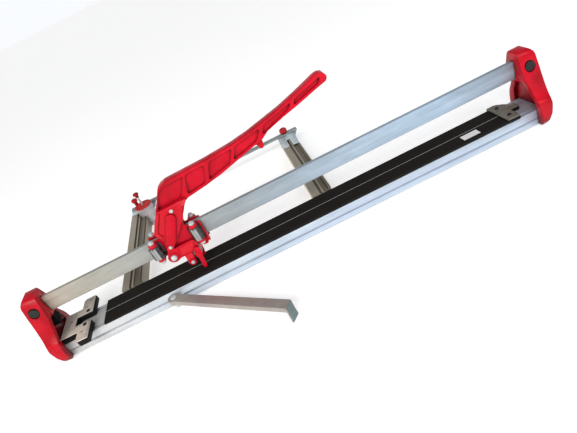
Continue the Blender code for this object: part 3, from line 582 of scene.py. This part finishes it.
def two_tone_and_shaded_parts():
    """The swing arm's foot plate, the thumbscrew's zinc shaft and painted shade on one side of both arms."""
    pivot, foot_starts = PIVOT_OF["swing_arm_pivot"], 245.5 * MM
    second_look("swing_arm", FOOT_LOOK, lambda at: (at - pivot).xy.length > foot_starts)
    shaft_top = 78.5 * MM
    second_look("foot_thumbscrew", LOOKS["zinc"], lambda at: at.z < shaft_top)
    # Each arm's faces past the slot's +X edge get the darker copy, as painted shade.
    slot_edge = 4.6 * MM
    for side in ("left", "right"):
        shaded_side_starts = PIVOT_OF[f"arm_{side}_fold"].x + slot_edge
        second_look(f"arm_{side}", SHADED_ARM_SIDE_LOOK, lambda at: at.x > shaded_side_starts)


for node, (width, segments) in SOFTENED.items():
    soften(node, width, segments, OWN_LOOKS.get(node))
for node in NODES:
    if node not in SOFTENED and node not in PADS:
        NODES[node].data.materials.clear()
        NODES[node].data.materials.append(LOOKS[SLOT_OF[node]])
for node in PADS:
    ribbed_pad(node)
fork_ribs()
sticker()
ruler_marks()
laser_painted_highlight()
bolt_caps()
two_tone_and_shaded_parts()


# ---- Floor, light and camera -----------------------------------------------------------------

FLOOR_SIZE, FLOOR_GAP, FLOOR_GLOW = 40, 0.2 * MM, 0.46
SUN_STRENGTH, SUN_SPREAD, SUN_COLOUR = 1.25, math.radians(24), (1.0, 0.985, 0.96)
SUN_TOWARDS = Vector((0.25, 0.78, -0.58))
SOFT_LIGHT_SIZE = (0.9, 0.7)
ROOM_COLOUR = (0.95, 0.97, 1, 1)
ROOM_FADE = {"From Min": 0.05, "From Max": 0.35, "To Min": 1.0, "To Max": 0.26}
CAMERA_PLACE = (0.0088, -0.756, 0.5025)
CAMERA_YAW, CAMERA_DOWN, CAMERA_ROLL = 0.0204, 0.5475, math.radians(27.12)
LENS, SENSOR_WIDTH = 29.32, 36.0


def floor():
    """A wide pale floor that glows a little, just under the object."""
    mesh = bpy.data.meshes.new("floor")
    shape = bmesh.new()
    bmesh.ops.create_grid(shape, x_segments=1, y_segments=1, size=FLOOR_SIZE)
    shape.to_mesh(mesh)
    shape.free()
    made = link("floor", mesh)
    made.location.z = CAD_BOX[0][2] - FLOOR_GAP
    look = Look("floor_look")
    haze = look.noise(2.0, detail=3)
    colour = look.clouded(haze, (0.90, 0.90, 0.90), (0.93, 0.93, 0.93))
    mesh.materials.append(look.done(colour, look.level(haze, 0.55, 0.7), Emission_Color=(1, 1, 1, 1),
                                    Emission_Strength=FLOOR_GLOW, Specular_IOR_Level=0.2))


def aim(made, direction):
    """Turns a light to shine along a direction."""
    made.rotation_euler = direction.to_track_quat("-Z", "Y").to_euler()


def area_light(name, location, target, power, colour):
    """A soft light, its power in watts, that faces a target."""
    data = bpy.data.lights.new(name, "AREA")
    data.shape = "RECTANGLE"
    data.size, data.size_y = SOFT_LIGHT_SIZE
    data.energy = power
    data.color = colour
    made = link(name, data)
    made.location = location
    aim(made, Vector(target) - Vector(location))


def room():
    """A world that is pale at the horizon and, from a low height up, dim overhead."""
    world = bpy.data.worlds.new("studio")
    bpy.context.scene.world = world
    world.use_nodes = True
    nodes, wires = world.node_tree.nodes, world.node_tree.links
    back = nodes["Background"]
    back.inputs["Color"].default_value = ROOM_COLOUR
    split, fade = nodes.new("ShaderNodeSeparateXYZ"), nodes.new("ShaderNodeMapRange")
    wires.new(nodes.new("ShaderNodeTexCoord").outputs["Generated"], split.inputs["Vector"])
    wires.new(split.outputs["Z"], fade.inputs["Value"])
    for key, value in ROOM_FADE.items():
        fade.inputs[key].default_value = value
    wires.new(fade.outputs["Result"], back.inputs["Strength"])


def lights():
    """A broad sun from the front and two soft lights, cool on the right and warm on the left."""
    sun = bpy.data.lights.new("sun", "SUN")
    sun.energy, sun.angle, sun.color = SUN_STRENGTH, SUN_SPREAD, SUN_COLOUR
    aim(link("sun", sun), SUN_TOWARDS)
    area_light("key", (0.9, -1.2, 1.5), target=(0.1, 0, 0.05), power=10, colour=(0.90, 0.95, 1.0))
    area_light("fill", (-1.3, -0.9, 1.0), target=(-0.4, 0, 0.05), power=8, colour=(1.0, 0.92, 0.82))


def camera():
    """Looks down and along +Y, turned about its own line of sight, with the angles in radians."""
    data = bpy.data.cameras.new("camera")
    data.lens, data.sensor_width = LENS, SENSOR_WIDTH
    made = link("camera", data)
    turns = [(CAMERA_YAW, "Z"), (math.pi / 2 - CAMERA_DOWN, "X"), (-CAMERA_ROLL, "Z")]
    stand = Matrix.Translation(CAMERA_PLACE)
    for angle, axis in turns:
        stand = stand @ Matrix.Rotation(angle, 4, axis)
    made.matrix_world = stand
    bpy.context.scene.camera = made
    bpy.context.scene.view_settings.view_transform = "Standard"


floor()
room()
lights()
camera()
